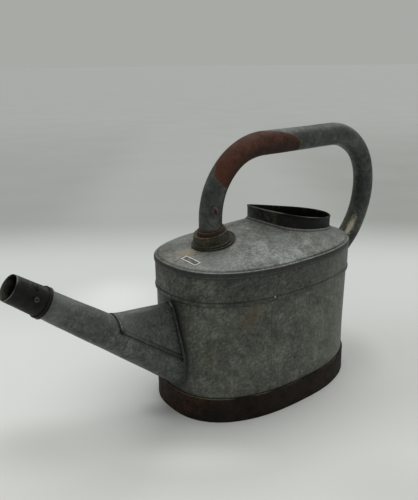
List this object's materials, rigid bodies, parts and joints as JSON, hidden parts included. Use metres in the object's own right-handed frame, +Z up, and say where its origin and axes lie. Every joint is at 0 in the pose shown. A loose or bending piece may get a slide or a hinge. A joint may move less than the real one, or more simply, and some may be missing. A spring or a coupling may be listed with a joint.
{
  "type": "watering can",
  "caption": "Weathered galvanised oval watering can with a long gusseted spout, a wide filler neck, an iron foot hoop and a bent tube handle.",
  "frame": {"origin": "on the floor, under the middle of the whole can's bounding box", "axes": "+Z up, the spout points along -X, the handle's rear leg is at +X, +Y to the can's side"},
  "size_m": [0.6576, 0.2128, 0.3892],
  "materials": {
    "galvanised_wall": "dull weathered zinc, mottled",
    "galvanised_plate": "weathered zinc, lighter, mottled",
    "rusted_iron": "brown rust",
    "blackened_sheet": "blackened, tarnished",
    "zinc_tube": "blue-grey weathered zinc with a rust patch",
    "stained_collar": "tarnished, rust stained",
    "solder": "dull solder",
    "label": "worn blank paper"
  },
  "bodies": {
    "root": {"lower_wall": "galvanised_wall", "upper_band": "galvanised_wall", "bottom_plate": "galvanised_wall", "top_plate": "galvanised_plate", "neck_ring": "galvanised_plate", "filler_neck": "blackened_sheet", "spout_socket": "blackened_sheet", "socket_ring_front": "blackened_sheet", "socket_ring_rear": "blackened_sheet", "rose_stud_side": "blackened_sheet", "rose_stud_top": "blackened_sheet", "base_hoop": "rusted_iron", "spout_tube": "zinc_tube", "spout_gusset": "zinc_tube", "handle_front_tube": "zinc_tube", "handle_rear_tube": "zinc_tube", "collar_flange": "stained_collar", "collar_cup": "stained_collar", "collar_ring": "stained_collar", "handle_rivet": "stained_collar", "spout_solder": "solder", "handle_solder": "solder", "blank_label": "label"}
  },
  "joints": []
}
